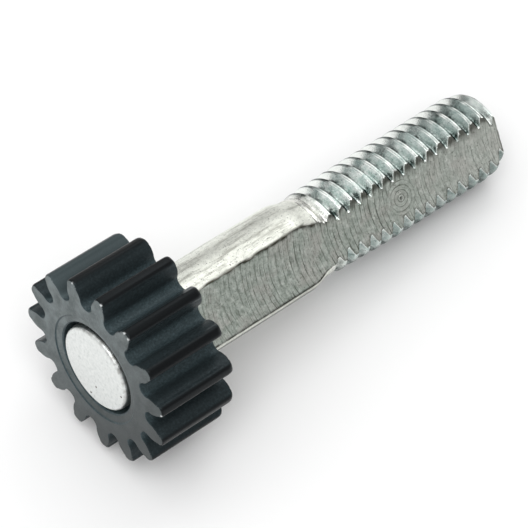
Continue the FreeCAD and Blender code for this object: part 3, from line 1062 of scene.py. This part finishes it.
def burr_with_painted_light(x, across, gap, on_flat):
    """How far the burr shows at a distance from the flat's edge, dark on the shank and flat,
    partly as painted shade, and pale on the thread as a painted highlight: wide along the top of
    the shank, thin along the bottom, and in the thread smeared down over the flat, with painted
    shade filling the notches. The pip in the swirl is as dark."""
    ragged = 0.5 + 0.9 * noise.noise(Vector((x * 1.7, across, 3.0)))
    on_shank = 1.0 - step_between(21.0, 23.5, x)
    if across > 0:
        toward_neck = 0.35 + 0.65 * step_between(12.0, 18.0, x)
        strength = 0.4 + 0.6 * on_shank
        width = 0.07 + (0.1 + 0.13 * ragged) * on_shank * toward_neck
    else:
        strength = 0.5 + 0.5 * on_shank
        width = 0.1 + 0.06 * on_shank
    line = strength * (0.6 + ragged) * (1.0 - step_between(0.04, width, gap))
    notch = 0.0
    if on_flat:
        notch = 0.8 * step_between(1.75, 2.15, across + 0.3 * ragged) * (1.0 - on_shank)
        smear = step_between(-0.05, 0.25, noise.noise(Vector((x * 2.4, across * 0.4, 15.0))))
        smear *= step_between(0.9, 2.2, across) * (1.0 - on_shank)
        notch = max(notch, 0.7 * smear)
    pip = 1.0 - step_between(0.06, 0.17, math.hypot(x - SWIRL_X, across - SWIRL_ACROSS))
    return max(min(max(line, notch, pip), 1.0), 0.0)


def burr_lift(x, across):
    """How far the flat's edge is torn: outwards and to and fro along the shank, and in small
    spikes down over the flat in the thread."""
    torn = 0.5 + noise.noise(Vector((x * 3.1, across * 2.0, 5.0)))
    wave = noise.noise(Vector((x * 1.1, 0.5 * across, 7.0)))
    spike = max(noise.noise(Vector((x * 7.0, across * 5.0, 11.0))), 0.0)
    threaded = step_between(22.0, 23.5, x)
    plain = 1.0 - threaded
    if across > 0:
        return Vector((0.0, 0.09 * wave * plain - 0.2 * spike * threaded,
                       0.07 * torn + 0.02 * threaded))
    return Vector((0.0, 0.05 * wave * plain + 0.1 * spike * threaded, 0.02 * torn))


def finish_pinion(piece):
    """Gives the gear's two faces their sparked grain and the rest its smooth skin, and shades
    its flanks and its tips, with painted light on the one flank that faces up and painted
    highlights on a few corners."""
    piece.data.materials.append(moulded_acetal())
    piece.data.materials.append(sparked_acetal())
    vertices = piece.data.vertices
    for face in piece.data.polygons:
        outside = max(reach_of(vertices[index].co) for index in face.vertices) > GRAIN_INSIDE
        at_face = face.center.x < GRAIN_DEPTH or face.center.x > FACE_WIDTH - GRAIN_DEPTH
        if outside and at_face and abs(face.normal.x) > 0.8:
            face.material_index = GRAINED
    painted_glint = piece.data.attributes.new("painted_glint", "FLOAT", "POINT").data
    tip = piece.data.attributes.new("tip", "FLOAT", "POINT").data
    painted_light = piece.data.attributes.new("painted_light", "FLOAT", "POINT").data
    for index, vertex in enumerate(vertices):
        radius = reach_of(vertex.co)
        tip[index].value = max(0.6 * step_between(*FLANK_DARKENS, radius),
                               step_between(*TIP_DARKENS, radius))
        if PAINTED_LIGHT_FLANK[0] < turn_of(vertex.co) < PAINTED_LIGHT_FLANK[1]:
            painted_light[index].value = 0.75 * step_between(*PAINTED_LIGHT_SETS_IN, radius)
            tip[index].value *= 0.5
        for degrees, away in PAINTED_GLINTS:
            angle = math.radians(degrees)
            spot = Vector((PAINTED_GLINT_DEPTH, -away * math.sin(angle), away * math.cos(angle)))
            gap = (vertex.co - spot).length
            painted_glint[index].value = max(painted_glint[index].value, 1.0 - step_between(*PAINTED_GLINT_REACH, gap))


# Studio


def make_floor():
    """A floor of plain matt white paper: it lights the part's underside and takes its soft
    shadow, without a highlight of its own."""
    select_none()
    bpy.ops.mesh.primitive_plane_add(size=4.0, location=(0.0, 0.0, -FLOOR_GAP))
    floor = bpy.context.object
    floor.name = "studio_floor"
    material = bpy.data.materials.new("white_paper_sheet")
    material.use_nodes = True
    shader = material.node_tree.nodes["Principled BSDF"]
    shader.inputs["Base Color"].default_value = grey(0.93)
    shader.inputs["Roughness"].default_value = 0.9
    shader.inputs["Specular IOR Level"].default_value = 0.1
    floor.data.materials.append(material)


def soft_panel(name, size, place, brightness):
    """A square soft panel of light that faces the part. Brightness is how its surface looks."""
    data = bpy.data.lights.new(name, "AREA")
    data.size = size
    data.energy = brightness * math.pi * size ** 2
    lamp = bpy.data.objects.new(name, data)
    bpy.context.scene.collection.objects.link(lamp)
    lamp.location = place
    facing = PART_MIDDLE - Vector(place)
    lamp.rotation_euler = facing.to_track_quat("-Z", "Y").to_euler()


def make_surround():
    """A soft studio surround: a white ceiling, a mid grey front, and a white back wall with a
    dark rail across it. The camera itself sees a plain pale backdrop."""
    world = bpy.data.worlds.new("studio_surround")
    world.use_nodes = True
    bpy.context.scene.world = world
    tree = world.node_tree
    tree.nodes.clear()
    where = add(tree, "ShaderNodeTexCoord")
    parts = add(tree, "ShaderNodeSeparateXYZ", links={"Vector": where.outputs["Generated"]})
    front = add(tree, "ShaderNodeValToRGB", {
        "stops": [(0.0, 0.36), (0.5, 0.38), (0.84, 0.42), (0.95, 0.9)]},
        {"Fac": parts.outputs["Z"]})
    rear = add(tree, "ShaderNodeValToRGB", {
        "stops": [(0.0, 0.95), (0.08, 0.9), (0.15, 0.05), (0.28, 0.05), (0.4, 0.8), (0.52, 1.02),
                  (0.8, 1.0)]}, {"Fac": parts.outputs["Z"]})
    side = add(tree, "ShaderNodeMapRange", {
        "interpolation_type": "SMOOTHSTEP", "From Min": -0.2, "From Max": 0.3},
        {"Value": parts.outputs["Y"]})
    around = add(tree, "ShaderNodeMix", {"data_type": "RGBA"}, {
        0: side.outputs["Result"], 6: front.outputs["Color"], 7: rear.outputs["Color"]})
    left = add(tree, "ShaderNodeMapRange", {
        "interpolation_type": "SMOOTHSTEP", "From Min": -0.6, "From Max": -0.72},
        {"Value": parts.outputs["X"]})
    walled = add(tree, "ShaderNodeMix", {"data_type": "RGBA", 7: grey(0.78)}, {
        0: left.outputs["Result"], 6: around.outputs[2]})
    path = add(tree, "ShaderNodeLightPath")
    seen = add(tree, "ShaderNodeMix", {"data_type": "RGBA", 7: grey(0.97)}, {
        0: path.outputs["Is Camera Ray"], 6: walled.outputs[2]})
    glow = add(tree, "ShaderNodeBackground", {"Strength": 1.1}, {"Color": seen.outputs[2]})
    add(tree, "ShaderNodeOutputWorld", links={"Surface": glow.outputs["Background"]})


def make_camera():
    """The camera, at the photograph's angle and distance."""
    data = bpy.data.cameras.new("camera")
    data.sensor_width = 36.0
    data.lens = 204.77
    data.clip_start = 0.01
    data.clip_end = 10.0
    camera = bpy.data.objects.new("camera", data)
    bpy.context.scene.collection.objects.link(camera)
    right = Vector((0.75225015, -0.65851955, -0.02171897))
    up = Vector((0.54883497, 0.60803371, 0.57365076))
    back = Vector((-0.36455437, -0.443449, 0.818812))
    turn = Matrix((right, up, back)).transposed().to_4x4()
    camera.matrix_world = Matrix.Translation((-0.09241747, -0.10897647, 0.20808087)) @ turn
    bpy.context.scene.camera = camera


# The part

pinion = make_pinion()
break_rims(pinion)
clean(pinion, FINE_DOUBLES)
finish_pinion(pinion)
lay_down(pinion)
smooth(pinion, 32.0)
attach(pinion, "pinion")
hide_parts("pinion")

stud = make_stud()
clean(stud, FINE_DOUBLES)
finish_stud(stud)
lay_down(stud)
smooth(stud, 35.0)
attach(stud, "stud")
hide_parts("stud")

make_floor()
make_surround()
soft_panel("key_panel", 0.24, (0.33, 0.13, 0.45), 1.3)
soft_panel("top_panel", 0.4, (-0.16, -0.21, 0.5), 2.7)
make_camera()
bpy.context.scene.view_settings.view_transform = "Standard"
